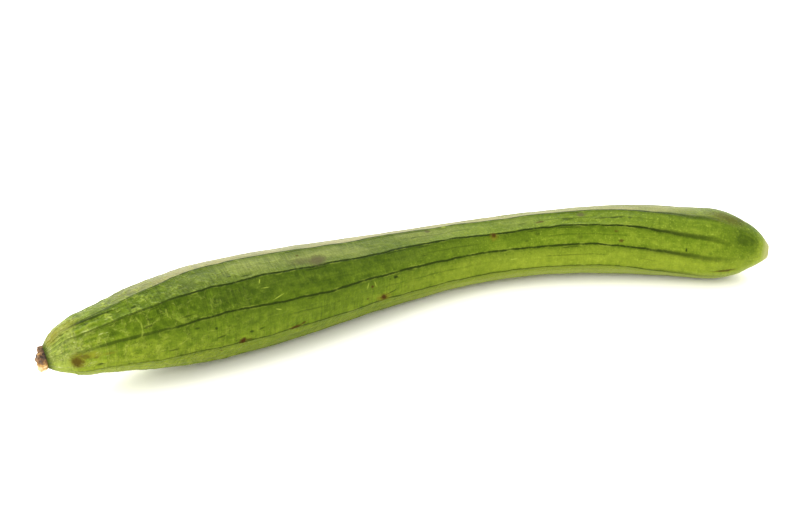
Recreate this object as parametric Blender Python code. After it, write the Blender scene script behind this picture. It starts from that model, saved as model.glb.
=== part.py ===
"""Ridge gourd: one long, gently bent fruit with ten low ridges, lying on its side.

Units are metres, +Z is up and z = 0 is the table. The origin lies on the table under the
middle of the fruit, and +X runs from the blossom end to the stalk end.
Run it with blender --background --python part.py, or from the text editor.
"""
import math

import bmesh
import bpy
import numpy as np

MM = 0.001

# ---- The fruit's axis and girth, in mm ----
# Each row is a station on the axis, from the blossom end to the stalk end: its x and y seen
# from above, the gap between the underside and the table (negative where the weight presses
# the skin flat), the radius over the ridges, and the ridges' turn round the axis in degrees.
STATIONS = np.array((
    (-202.4, -31.4, 14.8, 12.6, 12.0),
    (-175.1, -26.8, 11.4, 17.7, 8.0),
    (-126.0, -12.4, 0.8, 25.8, 1.0),
    (-65.2, 0.6, 0.3, 24.6, 2.5),
    (-3.2, 18.3, -0.4, 20.4, 1.0),
    (61.3, 26.4, 0.1, 18.2, 1.5),
    (120.8, 16.3, 0.6, 19.5, 6.0),
    (163.3, 1.3, -0.3, 20.2, 17.0),
    (205.3, -18.7, -1.6, 20.8, 33.0),
))
# Rounding of each end: the length already cut away at the tip, the length over which the end
# swells to full girth, and how pointed it is (0.5 is an ellipse, more is sharper).
BLOSSOM_TAPER = (3.9, 24.0, 0.62)
STALK_TAPER = (2.8, 40.4, 0.78)
# How far each tip sinks below the run of the axis, and the length over which it does.
BLOSSOM_DROOP = (1.3, 14.0)
STALK_DROOP = (1.0, 14.0)

# ---- The ridges, in mm and degrees ----
FIRST_RIDGE = -5.0            # from the top of the fruit towards -Y
# How far each ridge strays from even spacing: all along, more at the blossom end, and more
# at the stalk end.
RIDGE_STRAY = np.array((
    (1.0, 9.0, 0.0),
    (-0.5, -3.0, 4.0),
    (-3.0, -4.0, -3.0),
    (2.5, 7.0, 3.0),
    (1.0, 2.0, -2.0),
    (-1.5, -4.0, 0.0),
    (0.0, 3.0, 3.0),
    (2.0, -2.0, -3.0),
    (-1.0, -3.0, 2.0),
    (-0.5, 2.0, -1.0),
))
RIDGE_COUNT = len(RIDGE_STRAY)
STRAY_REACH = 90.0            # the straying at an end has died away by here
RIDGE_HEIGHT = 0.5
RIDGE_HALF_WIDTH = 1.2
PANEL_FLATNESS = 0.4          # how far the middle of a panel falls inside its ridges' feet
RIDGES_RISE = (6.0, 45.0)     # the ridges grow over this stretch from the blossom end
RIDGES_FADE = (12.0, 95.0)    # and die away over this one, measured from the stalk end
PLEAT_DEPTH = 0.3             # folds drawn together at the blossom end, two to a panel
PLEAT_LENGTH = 26.0

# ---- The ends, in mm ----
STALK_SCAR = (0.8, 0.5)       # width of the rim and depth of the dish inside it
BLOSSOM_SEAT = (0.8, 0.9)     # the same for the dish that the dried blossom sits in
SEAT_GAP = 0.3                # between the blossom and the floor of its dish
# The dried blossom's outline, turned about the fruit's axis: distance from its foot, radius,
# and how strongly the shrivelled lobes show there.
BLOSSOM_OUTLINE = np.array((
    (0.0, 4.2, 0.0),
    (1.2, 4.4, 0.2),
    (1.7, 5.9, 0.7),
    (2.5, 6.6, 1.0),
    (3.4, 6.7, 1.0),
    (4.3, 5.9, 1.0),
    (4.6, 4.9, 0.8),
    (4.0, 3.6, 0.6),
    (3.2, 2.0, 0.3),
))
BLOSSOM_LOBES = ((5, 0.09, 0.4), (8, 0.05, 2.1), (3, 0.04, 1.2))    # count, depth, phase

# ---- Mesh density ----
PANEL_STEPS = (0.0, 0.1, 0.3, 0.5, 0.7, 0.9)    # columns in each panel, close at the ridge
FRUIT_RINGS = 72
RING_CROWDING = 0.85          # 0 spaces the rings evenly, 1 crowds them at the ends
BLOSSOM_SIDES = 40


def smooth_step(start, end, at):
    """0 before start, 1 past end, and a smooth rise between them"""
    share = np.clip((at - start) / (end - start), 0.0, 1.0)
    return share * share * (3.0 - 2.0 * share)


def natural_spline(knots, values, at):
    """Read a natural cubic spline through rows of values at the distances `at`"""
    step = np.diff(knots)
    slope = np.diff(values, axis=0) / step[:, None]
    system = np.eye(len(knots))
    load = np.zeros_like(values)
    for i in range(1, len(knots) - 1):
        system[i, i - 1:i + 2] = step[i - 1], 2.0 * (step[i - 1] + step[i]), step[i]
        load[i] = 6.0 * (slope[i] - slope[i - 1])
    bend = np.linalg.solve(system, load)
    i = np.clip(np.searchsorted(knots, at) - 1, 0, len(step) - 1)
    ahead = ((knots[i + 1] - at) / step[i])[:, None]
    behind = 1.0 - ahead
    curve = (ahead ** 3 - ahead) * bend[i] + (behind ** 3 - behind) * bend[i + 1]
    return ahead * values[i] + behind * values[i + 1] + curve * step[i][:, None] ** 2 / 6.0


def taper(distance, cut, reach, sharpness):
    """Share of the full girth at a distance from the tip"""
    depth = np.clip((distance + cut) / reach, 0.0, 1.0)
    return (1.0 - (1.0 - depth) ** 2) ** sharpness


def station_distances():
    """Distance of each station from the blossom end, along the axis"""
    x, y, gap, radius, _ = STATIONS.T
    points = np.stack((x, y, gap + radius), axis=1)
    return np.concatenate(((0.0,), np.cumsum(np.linalg.norm(np.diff(points, axis=0), axis=1))))


def axis_frames(along):
    """Axis point, sideways and upward directions, radius and turn at each distance"""
    x, y, gap, radius, turn = natural_spline(station_distances(), STATIONS, along).T
    length = station_distances()[-1]
    droop = sum(depth * (1.0 - smooth_step(0.0, reach, from_tip)) for from_tip, (depth, reach)
                in ((along, BLOSSOM_DROOP), (length - along, STALK_DROOP)))
    centre = np.stack((x, y, gap + radius - droop), axis=1)
    forward = np.gradient(centre, along, axis=0)
    forward /= np.linalg.norm(forward, axis=1)[:, None]
    side = np.cross(forward, (0.0, 0.0, 1.0))
    side /= np.linalg.norm(side, axis=1)[:, None]
    up = np.cross(side, forward)
    return centre, side, up, radius, turn


def ridge_angles(along, length, turn):
    """Angle of every ridge at each distance, in degrees, with the first again at the end"""
    everywhere, blossom, stalk = RIDGE_STRAY.T
    at_blossom = 1.0 - smooth_step(0.0, STRAY_REACH, along)
    at_stalk = 1.0 - smooth_step(0.0, STRAY_REACH, length - along)
    stray = everywhere + np.outer(at_blossom, blossom) + np.outer(at_stalk, stalk)
    even = FIRST_RIDGE + 360.0 / RIDGE_COUNT * np.arange(RIDGE_COUNT)
    ridges = even + stray + turn[:, None]
    return np.column_stack((ridges, ridges[:, 0] + 360.0))


def panel_columns(ridges):
    """Columns of each panel, left ridge first: angles, places from 0 to 1, panel widths"""
    widths = np.diff(ridges, axis=1)
    places = np.array(PANEL_STEPS)
    angles = ridges[:, :-1, None] + widths[..., None] * places
    rings = len(ridges)
    return (angles.reshape(rings, -1), np.tile(places, RIDGE_COUNT),
            np.repeat(widths, len(places), axis=1))


def skin_relief(along, length, radius, places, widths):
    """Depth of the skin under a round body over the ridges' crests, with the end pleats"""
    from_ridge = np.minimum(places, 1.0 - places) * np.radians(widths) * radius[:, None]
    furrow = RIDGE_HEIGHT * (1.0 - np.exp(-(from_ridge / RIDGE_HALF_WIDTH) ** 2))
    flat = PANEL_FLATNESS * (1.0 - np.cos(2.0 * math.pi * places)) / 2.0
    shown = smooth_step(*RIDGES_RISE, along) * smooth_step(*RIDGES_FADE, length - along)
    pleats = np.sin(math.pi * np.clip(along / PLEAT_LENGTH, 0.0, 1.0))
    pleats = PLEAT_DEPTH * pleats[:, None] * np.cos(4.0 * math.pi * places)
    return (furrow + flat) * shown[:, None] - pleats


def ring_distances(length):
    """Distances of the fruit's rings from the blossom end, closer together near the ends"""
    even = np.linspace(0.0, 1.0, FRUIT_RINGS)
    crowded = (1.0 - np.cos(math.pi * even)) / 2.0
    return length * (RING_CROWDING * crowded + (1.0 - RING_CROWDING) * even)


def ring_points(centre, side, up, radii, angles):
    """Points of each ring, at radii[ring, column] and angles[ring, column] in degrees"""
    turned = np.radians(angles)
    outward = up[:, None] * np.cos(turned)[..., None] + side[:, None] * np.sin(turned)[..., None]
    return centre[:, None] + radii[..., None] * outward


def fruit_rings():
    """The fruit's skin as rings of points, pressed flat where it meets the table"""
    length = station_distances()[-1]
    along = ring_distances(length)
    centre, side, up, radius, turn = axis_frames(along)
    radius = radius * taper(along, *BLOSSOM_TAPER) * taper(length - along, *STALK_TAPER)
    angles, places, widths = panel_columns(ridge_angles(along, length, turn))
    radii = radius[:, None] - skin_relief(along, length, radius, places, widths)
    points = ring_points(centre, side, up, radii, angles)
    points[..., 2] = np.maximum(points[..., 2], 0.0)
    return points * MM


def blossom_rings():
    """The dried blossom's crust as rings round the fruit's axis, out from its seat"""
    centre, side, up, _, _ = axis_frames(np.array((0.0, 0.5)))
    outward = np.cross(side[0], up[0])
    angles = np.linspace(0.0, 360.0, BLOSSOM_SIDES, endpoint=False)
    lobes = sum(depth * np.cos(count * np.radians(angles) + phase)
                for count, depth, phase in BLOSSOM_LOBES)
    beyond, radius, show = BLOSSOM_OUTLINE.T
    beyond = beyond + SEAT_GAP - BLOSSOM_SEAT[1]
    radii = radius[:, None] * (1.0 + show[:, None] * lobes)
    rings = len(beyond)
    return MM * ring_points(centre[0] + beyond[:, None] * outward, side[:1].repeat(rings, 0),
                            up[:1].repeat(rings, 0), radii, np.tile(angles, (rings, 1)))


def principled(name, colour, roughness):
    """A plain material of one colour"""
    material = bpy.data.materials.new(name)
    material.use_nodes = True
    shader = material.node_tree.nodes["Principled BSDF"]
    shader.inputs["Base Color"].default_value = (*colour, 1.0)
    shader.inputs["Roughness"].default_value = roughness
    shader.inputs["Metallic"].default_value = 0.0
    material.diffuse_color = (*colour, 1.0)
    return material


def ring_loop(bm, ring):
    """A closed loop of edges through one ring of points"""
    verts = [bm.verts.new(point) for point in ring]
    return [bm.edges.new(pair) for pair in zip(verts, verts[1:] + verts[:1])]


def skinned(bm, rings):
    """Bridge the rings one to the next and close both ends; gives the two end faces"""
    loops = [ring_loop(bm, ring) for ring in rings]
    for near, far in zip(loops, loops[1:]):
        bmesh.ops.bridge_loops(bm, edges=near + far)
    caps = [bmesh.ops.edgeloop_fill(bm, edges=loop)["faces"][0] for loop in (loops[0], loops[-1])]
    bmesh.ops.recalc_face_normals(bm, faces=bm.faces)
    return caps


def sink_dish(bm, cap, rim, depth):
    """Sink a shallow dish with sloping sides into an end face, inside a flat rim"""
    bmesh.ops.inset_region(bm, faces=[cap], thickness=rim * MM)
    bmesh.ops.inset_region(bm, faces=[cap], thickness=depth / 2.0 * MM, depth=-depth * MM)


def add_object(bm, name, material):
    """Turn the bmesh into a named object, shaded smooth"""
    mesh = bpy.data.meshes.new(name)
    bm.to_mesh(mesh)
    bm.free()
    mesh.shade_smooth()
    mesh.set_sharp_from_angle(angle=math.radians(50.0))
    mesh.materials.append(material)
    piece = bpy.data.objects.new(name, mesh)
    bpy.context.scene.collection.objects.link(piece)
    return piece


def make_fruit():
    """The green fruit, with its ridges, the stalk's scar and the dried blossom's seat"""
    bm = bmesh.new()
    blossom_cap, stalk_cap = skinned(bm, fruit_rings())
    sink_dish(bm, blossom_cap, *BLOSSOM_SEAT)
    sink_dish(bm, stalk_cap, *STALK_SCAR)
    return add_object(bm, "fruit", principled("green_skin", (0.20, 0.31, 0.045), 0.42))


def make_dried_blossom():
    """The brown, shrivelled remains of the flower"""
    bm = bmesh.new()
    skinned(bm, blossom_rings())
    return add_object(bm, "dried_blossom", principled("dry_blossom", (0.30, 0.15, 0.06), 0.85))


def main():
    for old in list(bpy.data.objects):
        bpy.data.objects.remove(old, do_unlink=True)
    make_fruit()
    make_dried_blossom()


main()
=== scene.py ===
"""Ridge gourd: the finished look of one luffa fruit lying on its side.

The fruit's skin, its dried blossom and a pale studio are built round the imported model.
Lengths are in metres unless a comment says otherwise. Places on the skin are given as the
distance along the fruit's axis from the blossom end, and the angle round the axis from the
top towards -Y.
"""

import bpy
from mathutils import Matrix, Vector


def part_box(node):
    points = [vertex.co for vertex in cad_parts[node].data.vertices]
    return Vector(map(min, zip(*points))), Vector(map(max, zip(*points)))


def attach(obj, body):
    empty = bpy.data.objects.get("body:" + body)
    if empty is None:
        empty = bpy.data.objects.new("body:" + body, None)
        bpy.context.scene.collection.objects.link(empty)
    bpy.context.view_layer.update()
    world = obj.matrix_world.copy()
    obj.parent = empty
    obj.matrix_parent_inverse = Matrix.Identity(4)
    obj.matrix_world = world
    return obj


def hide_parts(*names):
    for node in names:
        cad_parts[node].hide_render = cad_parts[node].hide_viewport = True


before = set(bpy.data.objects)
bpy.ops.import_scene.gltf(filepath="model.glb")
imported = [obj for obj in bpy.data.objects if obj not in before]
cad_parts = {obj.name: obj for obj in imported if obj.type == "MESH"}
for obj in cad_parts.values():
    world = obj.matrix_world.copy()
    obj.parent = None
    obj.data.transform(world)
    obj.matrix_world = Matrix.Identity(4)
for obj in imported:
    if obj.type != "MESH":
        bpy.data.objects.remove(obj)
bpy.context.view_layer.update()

import math

import bpy
import numpy as np
from bpy.props import FloatProperty, FloatVectorProperty, IntProperty, PointerProperty
from mathutils import Matrix, Vector, noise

bl_info = {
    "name": "Ridge Gourd",
    "version": (1, 0, 0),
    "blender": (4, 5, 0),
    "location": "3D View > Sidebar > Gourd",
    "description": "Builds a luffa fruit with low ridges, its dried blossom and a pale studio",
    "category": "Add Mesh",
}

MM = 0.001

# ---- The fruit's axis and girth, in mm, as in the model ----
# x and y seen from above, gap under the fruit, radius over the ridges, ridges' turn in degrees
STATIONS = np.array((
    (-202.4, -31.4, 14.8, 12.6, 12),
    (-175.1, -26.8, 11.4, 17.7, 8),
    (-126, -12.4, 0.8, 25.8, 1),
    (-65.2, 0.6, 0.3, 24.6, 2.5),
    (-3.2, 18.3, -0.4, 20.4, 1),
    (61.3, 26.4, 0.1, 18.2, 1.5),
    (120.8, 16.3, 0.6, 19.5, 6),
    (163.3, 1.3, -0.3, 20.2, 17),
    (205.3, -18.7, -1.6, 20.8, 33),
))
# Rounding of the ends: mm cut off its tip, its whole length in mm, and its sharpness
BLOSSOM_TAPER = (3.9, 24, 0.62)
STALK_TAPER = (2.8, 40.4, 0.78)
# How far the axis sinks at each tip, and over what length, in mm
BLOSSOM_DROOP = (1.3, 14)
STALK_DROOP = (1, 14)
AXIS_STEPS = 2000  # points at which the axis is worked out

# ---- The ridges, in mm and degrees ----
FIRST_RIDGE = -5  # from the top of the fruit towards -Y
# Degrees each ridge strays from even spacing: all along, at the blossom, at the stalk end
RIDGE_STRAY = np.array((
    (1, 9, 0), (-0.5, -3, 4), (-3, -4, -3), (2.5, 7, 3), (1, 2, -2),
    (-1.5, -4, 0), (0, 3, 3), (2, -2, -3), (-1, -3, 2), (-0.5, 2, -1),
))
RIDGE_COUNT = len(RIDGE_STRAY)
STRAY_REACH = 90  # the straying at an end has died away by here
RIDGE_SWINGS = ((31, 3.2), (9, 1.1))  # slow random swings: wavelength and size
SWING_SEEDS = 20  # seeds from one set of swings to the next
RIDGES_RISE = (6, 45)  # the ridges grow over this stretch from the blossom end
RIDGES_FADE = (12, 95)  # and die away over this one, measured from the stalk end
PLEAT_LENGTH = 26  # folds drawn together at the blossom end

# ---- Small forms of the skin, in mm ----
SWELL_SIZE = (19, 15)  # length along the fruit and width round it
DIMPLE_SIZE = (6.5, 5.5)
DIMPLE_SHIFT = 40  # keeps the dimples apart from the swells
DIMPLES_EVERYWHERE = 0.45  # share of their depth that doesn't come and go with wrinkles
WRINKLE_SIZE = (6, 4.4)
WRINKLE_KIND = (1, 2.1, 3, 0.9, 2)  # dimension, lacunarity, octaves, offset, gain
WRINKLES_FADE = (10, 120)  # the wrinkles die away over this stretch
# Dents pressed into the skin: mm along, degrees round, half length, half width, depth in mm
DENTS = (
    (409, 42, 6.5, 4.5, 0.55), (57, 55, 8, 7, 0.35), (36, 48, 9, 5, 0.3),
    (122, 80, 9, 5, 0.22), (176, 82, 7, 3, 0.22), (150, 15, 14, 5, 0.25),
    (88, 200, 12, 6, 0.3), (210, 250, 16, 5, 0.3),
    (318, 300, 12, 5, 0.25), (140, 290, 10, 7, 0.3),
    (372, 190, 9, 6, 0.3),
)
DENT_STEEPNESS = 1.5
RING_CROWDING = 0.45  # 0 spaces the rings evenly, 1 crowds them at the ends
# The end faces, from the rim inwards: share of the radius, and depth in mm (under 0 is out)
SEAT_OUTLINE = ((0.985, 0), (0.95, 0.03), (0.9, 0.12), (0.86, 0.35), (0.83, 0.7), (0.8, 0.88),
                (0.5, 0.9), (0, 0.9))
SCAR_OUTLINE = ((0.97, -0.12), (0.91, -0.32), (0.83, -0.52), (0.73, -0.7), (0.63, -0.76),
                (0.53, -0.6), (0.42, -0.45), (0.25, -0.4), (0, -0.4))


# ============ the fruit's form

def smooth_step(start, end, at):
    """0 before start, 1 past end, and a smooth rise between them"""
    share = np.clip((at - start) / (end - start), 0, 1)
    return share * share * (3 - 2 * share)


def natural_spline(knots, values, at):
    """Read a natural cubic spline through rows of values at the distances `at`"""
    step = np.diff(knots)
    slope = np.diff(values, axis=0) / step[:, None]
    system = np.eye(len(knots))
    load = np.zeros_like(values)
    for i in range(1, len(knots) - 1):
        system[i, i - 1:i + 2] = step[i - 1], 2 * (step[i - 1] + step[i]), step[i]
        load[i] = 6 * (slope[i] - slope[i - 1])
    bend = np.linalg.solve(system, load)
    i = np.clip(np.searchsorted(knots, at) - 1, 0, len(step) - 1)
    ahead = ((knots[i + 1] - at) / step[i])[:, None]
    behind = 1 - ahead
    curve = (ahead ** 3 - ahead) * bend[i] + (behind ** 3 - behind) * bend[i + 1]
    return ahead * values[i] + behind * values[i + 1] + curve * step[i][:, None] ** 2 / 6


def taper(distance, cut, reach, sharpness):
    """Share of the full girth at a distance from the tip"""
    depth = np.clip((distance + cut) / reach, 0, 1)
    return (1 - (1 - depth) ** 2) ** sharpness


def station_distances():
    """Distance of each station from the blossom end, along the axis, in mm"""
    x, y, gap, radius, _ = STATIONS.T
    points = np.stack((x, y, gap + radius), axis=1)
    return np.concatenate(((0,), np.cumsum(np.linalg.norm(np.diff(points, axis=0), axis=1))))


def axis_frames(along):
    """Axis point, forward, sideways and upward directions and turn at each distance"""
    x, y, gap, radius, turn = natural_spline(station_distances(), STATIONS, along).T
    length = station_distances()[-1]
    droop = sum(depth * (1 - smooth_step(0, reach, from_tip)) for from_tip, (depth, reach)
                in ((along, BLOSSOM_DROOP), (length - along, STALK_DROOP)))
    centre = np.stack((x, y, gap + radius - droop), axis=1)
    forward = np.gradient(centre, along, axis=0)
    forward /= np.linalg.norm(forward, axis=1)[:, None]
    side = np.cross(forward, (0, 0, 1))
    side /= np.linalg.norm(side, axis=1)[:, None]
    up = np.cross(side, forward)
    return centre, forward, side, up, turn


def full_radius(along):
    """Radius over the ridges at each distance, with both ends rounded, in mm"""
    length = station_distances()[-1]
    radius = natural_spline(station_distances(), STATIONS, along)[:, 3]
    return radius * taper(along, *BLOSSOM_TAPER) * taper(length - along, *STALK_TAPER)


def waver(along, seed, wave, size):
    """Slow random swing with distance, the same each run"""
    return size * np.array([noise.noise((at / wave, seed * 7.31, 0.5)) for at in along])


def ridge_angles(along, length, turn):
    """Angle of every ridge at each distance, in degrees, with the first again at the end"""
    everywhere, blossom, stalk = RIDGE_STRAY.T
    at_blossom = 1 - smooth_step(0, STRAY_REACH, along)
    at_stalk = 1 - smooth_step(0, STRAY_REACH, length - along)
    stray = everywhere + np.outer(at_blossom, blossom) + np.outer(at_stalk, stalk)
    even = FIRST_RIDGE + 360 / RIDGE_COUNT * np.arange(RIDGE_COUNT)
    wander = [sum(waver(along, k + SWING_SEEDS * number, *swing)
                  for number, swing in enumerate(RIDGE_SWINGS)) for k in range(RIDGE_COUNT)]
    ridges = even + stray + turn[:, None] + np.array(wander).T
    return np.column_stack((ridges, ridges[:, 0] + 360))


def skin_relief(along, length, radius, places, widths, shape):
    """Depth of the skin under a round body over the ridges' crests, in mm"""
    from_ridge = np.minimum(places, 1 - places) * np.radians(widths) * radius[:, None]
    half_width = shape.ridge_half_width / MM
    furrow = shape.ridge_height / MM * (1 - np.exp(-(from_ridge / half_width) ** 2))
    flat = shape.panel_flatness / MM * (1 - np.cos(2 * math.pi * places)) / 2
    shown = smooth_step(*RIDGES_RISE, along) * smooth_step(*RIDGES_FADE, length - along)
    pleats = np.sin(math.pi * np.clip(along / PLEAT_LENGTH, 0, 1))
    pleats = shape.pleat_depth / MM * pleats[:, None] * np.cos(4 * math.pi * places)
    return (furrow + flat) * shown[:, None] - pleats


def ring_plan(length, rings):
    """Distance along and share of the skin's radius for each ring, from pole to pole"""
    even = np.linspace(0, 1, rings - len(SEAT_OUTLINE) - len(SCAR_OUTLINE))
    crowded = (1 - np.cos(math.pi * even)) / 2
    body = length * (RING_CROWDING * crowded + (1 - RING_CROWDING) * even)
    seat = [(depth, share) for share, depth in reversed(SEAT_OUTLINE)]
    scar = [(length - depth, share) for share, depth in SCAR_OUTLINE]
    plan = seat + [(at, 1) for at in body] + scar
    return np.array(plan).T


def noise_place(place, size, shift=0):
    """Where noise is read at a place on the unbent fruit, for forms of a length and width"""
    return place[0] / size[0], place[1] / size[1], place[2] / size[1] + shift


def lumps(points, along, shape):
    """Small rises and hollows of the skin in mm, with more by the blossom, and its crumple"""
    wrinkled = 1 - smooth_step(*WRINKLES_FADE, along)
    dimpled = DIMPLES_EVERYWHERE + (1 - DIMPLES_EVERYWHERE) * wrinkled
    height = np.zeros(points.shape[:2])
    crumple = np.zeros(points.shape[:2])
    for i, ring in enumerate(points):
        for j, place in enumerate(ring):
            swell = noise.noise(noise_place(place, SWELL_SIZE))
            dimple = noise.noise(noise_place(place, DIMPLE_SIZE, DIMPLE_SHIFT))
            wrinkle = noise.ridged_multi_fractal(noise_place(place, WRINKLE_SIZE), *WRINKLE_KIND,
                                                 noise_basis="PERLIN_ORIGINAL")
            crumple[i, j] = wrinkle - 1
            height[i, j] = (shape.swell_height / MM * swell
                            + shape.dimple_depth / MM * dimple * dimpled[i]
                            + shape.wrinkle_height / MM * crumple[i, j] * wrinkled[i])
    return height, crumple


def dent_depth(along, radius, angles):
    """Depth of all the dents at every point of the skin, in mm"""
    total = np.zeros_like(angles)
    for at, angle, half_length, half_width, depth in DENTS:
        across = np.radians((angles - angle + 180) % 360 - 180) * radius[:, None]
        away = ((along[:, None] - at) / half_length) ** 2 + (across / half_width) ** 2
        total += depth * np.exp(-DENT_STEEPNESS * away)
    return total


def fruit_points(rings, columns, shape):
    """Every point of the skin in mm, its place on an unbent fruit and how crumpled it is"""
    length = station_distances()[-1]
    along, share = ring_plan(length, rings)
    on_axis = np.clip(along, 0, length)
    steps = np.linspace(0, length, AXIS_STEPS)
    centre, _, side, up, turn = axis_frames(steps)
    centre, side, up = (np.array([np.interp(on_axis, steps, part[:, i]) for i in range(3)]).T
                        for part in (centre, side, up))
    turn = np.interp(on_axis, steps, turn)
    forward = np.cross(up, side)
    centre = centre + (along - on_axis)[:, None] * forward
    radius = full_radius(on_axis)
    ridges = ridge_angles(on_axis, length, turn)
    panels_round = np.arange(columns + 1) / columns * RIDGE_COUNT
    panel = np.minimum(panels_round.astype(int), RIDGE_COUNT - 1)
    places = panels_round - panel
    widths = np.diff(ridges, axis=1)[:, panel]
    angles = ridges[:, panel] + widths * places
    radii = radius[:, None] - skin_relief(on_axis, length, radius, places, widths, shape)
    radii -= dent_depth(on_axis, radius, angles)
    turned = np.radians(angles)
    unbent = np.stack((np.repeat(on_axis[:, None], columns + 1, axis=1),
                       radius[:, None] * np.sin(turned), radius[:, None] * np.cos(turned)), axis=2)
    height, crumple = (np.column_stack((part, part[:, 0]))
                       for part in lumps(unbent[:, :-1], on_axis, shape))
    radii += height
    radii *= share[:, None]
    outward = up[:, None] * np.cos(turned)[..., None] + side[:, None] * np.sin(turned)[..., None]
    unbent[..., 1:] *= share[:, None, None]
    points = centre[:, None] + radii[..., None] * outward
    points[..., 2] = np.maximum(points[..., 2], 0)
    return points, unbent, crumple


# ============ modelling helpers

MERGE_DISTANCE = 1e-6  # points of a sheet's edges closer than this become one
BOX_ALLOWANCE = 0.03  # how far a piece may leave its CAD node, as a share of its size


def deselect_all():
    """Leave nothing selected, so that the next operator acts on its own object only"""
    if bpy.context.mode != "OBJECT":
        bpy.ops.object.mode_set(mode="OBJECT")
    bpy.ops.object.select_all(action="DESELECT")


def wrapped_sheet(name, along_steps, around_steps, place):
    """A grid of faces with its points moved to place(i, j); also gives each point's i and j"""
    deselect_all()
    bpy.ops.mesh.primitive_grid_add(x_subdivisions=along_steps, y_subdivisions=around_steps,
                                    size=1, calc_uvs=True)
    piece = bpy.context.object
    mesh = piece.data
    piece.name = mesh.name = name
    flat = np.empty(len(mesh.vertices) * 3)
    mesh.vertices.foreach_get("co", flat)
    flat = flat.reshape(-1, 3)
    i = np.rint((flat[:, 0] + 0.5) * along_steps).astype(int)
    j = np.rint((flat[:, 1] + 0.5) * around_steps).astype(int)
    mesh.vertices.foreach_set("co", place(i, j).ravel())
    return piece, i, j


def store(mesh, name, values, kind="FLOAT", domain="POINT"):
    """Keep a number or a vector for each vertex or face corner, for the material to read"""
    attribute = mesh.attributes.new(name, kind, domain)
    field = "vector" if kind == "FLOAT_VECTOR" else "value"
    attribute.data.foreach_set(field, np.ascontiguousarray(values, dtype=np.float32).ravel())


def close_and_smooth(piece):
    """Merge the sheet's meeting edges, point its faces outwards and shade it smooth"""
    deselect_all()
    piece.select_set(True)
    bpy.context.view_layer.objects.active = piece
    bpy.ops.object.mode_set(mode="EDIT")
    bpy.ops.mesh.select_all(action="SELECT")
    bpy.ops.mesh.remove_doubles(threshold=MERGE_DISTANCE)
    bpy.ops.mesh.normals_make_consistent(inside=False)
    bpy.ops.object.mode_set(mode="OBJECT")
    bpy.ops.object.shade_smooth()


def stand_for(piece, node):
    """The piece moves with the fruit's body and hides its CAD node"""
    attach(piece, "root")
    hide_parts(node)


def check_against(piece, node):
    """Stop if a finished piece has left the place of its CAD node"""
    low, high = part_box(node)
    points = np.array([vertex.co for vertex in piece.data.vertices])
    gap = max(np.abs(points.min(0) - np.array(low)).max(),
              np.abs(points.max(0) - np.array(high)).max())
    if gap > BOX_ALLOWANCE * (high - low).length:
        raise RuntimeError(f"{piece.name} is {gap / MM:.1f} mm away from the box of {node}")


# ============ shader language

def set_stops(ramp, stops):
    """Give a colour ramp its places and colours"""
    while len(ramp.elements) < len(stops):
        ramp.elements.new(1)
    for element, (position, colour) in zip(ramp.elements, stops):
        element.position = position
        element.color = (*colour, 1) if len(colour) == 3 else colour


class Wire:
    """A socket of a material's node tree. Sums written with wires add Math nodes."""

    def __init__(self, tree, socket=None):
        self.tree = tree
        self.socket = socket

    def node(self, kind, settings=None, inputs=None, output=0):
        """Add any node: its settings come first, then the values or wires of its inputs"""
        made = self.tree.nodes.new(kind)
        for name, value in (settings or {}).items():
            if name == "stops":
                set_stops(made.color_ramp, value)
            elif name == "interpolation":
                made.color_ramp.interpolation = value
            else:
                setattr(made, name, value)
        for name, value in (inputs or {}).items():
            if isinstance(value, Wire):
                self.tree.links.new(value.socket, made.inputs[name])
            else:
                made.inputs[name].default_value = value
        return Wire(self.tree, made.outputs[output])

    def math(self, operation, *values):
        """A Math node on these values, with this wire's tree"""
        return self.node("ShaderNodeMath", {"operation": operation}, dict(enumerate(values)))

    def __add__(self, other):
        return self.math("ADD", self, other)

    def __sub__(self, other):
        return self.math("SUBTRACT", self, other)

    def __rsub__(self, other):
        return self.math("SUBTRACT", other, self)

    def __mul__(self, other):
        return self.math("MULTIPLY", self, other)

    def __truediv__(self, other):
        return self.math("DIVIDE", self, other)

    __radd__ = __add__

    def absolute(self):
        """This value without its sign"""
        return self.math("ABSOLUTE", self)

    def fraction(self):
        """What this value is past the last whole number"""
        return self.math("FRACT", self)

    def smooth(self, start, end):
        """0 at start, 1 at end, smooth between; start may be the larger"""
        return self.node("ShaderNodeMapRange", {"interpolation_type": "SMOOTHSTEP"},
                         {"Value": self, "From Min": start, "From Max": end})

    def scaled(self, x, y, z):
        """This vector with each of its parts multiplied"""
        return self.node("ShaderNodeVectorMath", {"operation": "MULTIPLY"}, {0: self, 1: (x, y, z)})

    def noise(self, scale, detail=2, roughness=0.5, distortion=0):
        """Noise from 0 to 1 read at this vector"""
        return self.node("ShaderNodeTexNoise", {},
                         {"Vector": self, "Scale": scale, "Detail": detail,
                          "Roughness": roughness, "Distortion": distortion})

    def mixed(self, other, factor):
        """This colour blended by a factor with another, given as red, green and blue or a wire"""
        other = other if isinstance(other, Wire) else (*other, 1)
        return self.node("ShaderNodeMix", {"data_type": "RGBA"}, {0: factor, 6: self, 7: other},
                         output=2)

    def attribute(self, name, output="Fac"):
        """What the mesh keeps under a name"""
        return self.node("ShaderNodeAttribute", {"attribute_name": name}, output=output)

    def ramp(self, stops, interpolation="LINEAR", output="Color"):
        """This value read through a ramp of places and colours"""
        return self.node("ShaderNodeValToRGB", {"interpolation": interpolation, "stops": stops},
                         {"Fac": self}, output=output)


def new_material(name):
    """An empty material with its shader; gives the material, the shader and a first wire"""
    material = bpy.data.materials.new(name)
    material.use_nodes = True
    shader = material.node_tree.nodes["Principled BSDF"]
    return material, shader, Wire(material.node_tree)


def connect(shader, **sockets):
    """Join wires to the shader's sockets, named with underscores for spaces"""
    for name, wire in sockets.items():
        wire.tree.links.new(wire.socket, shader.inputs[name.replace("_", " ")])


# ============ the skin's finish

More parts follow.
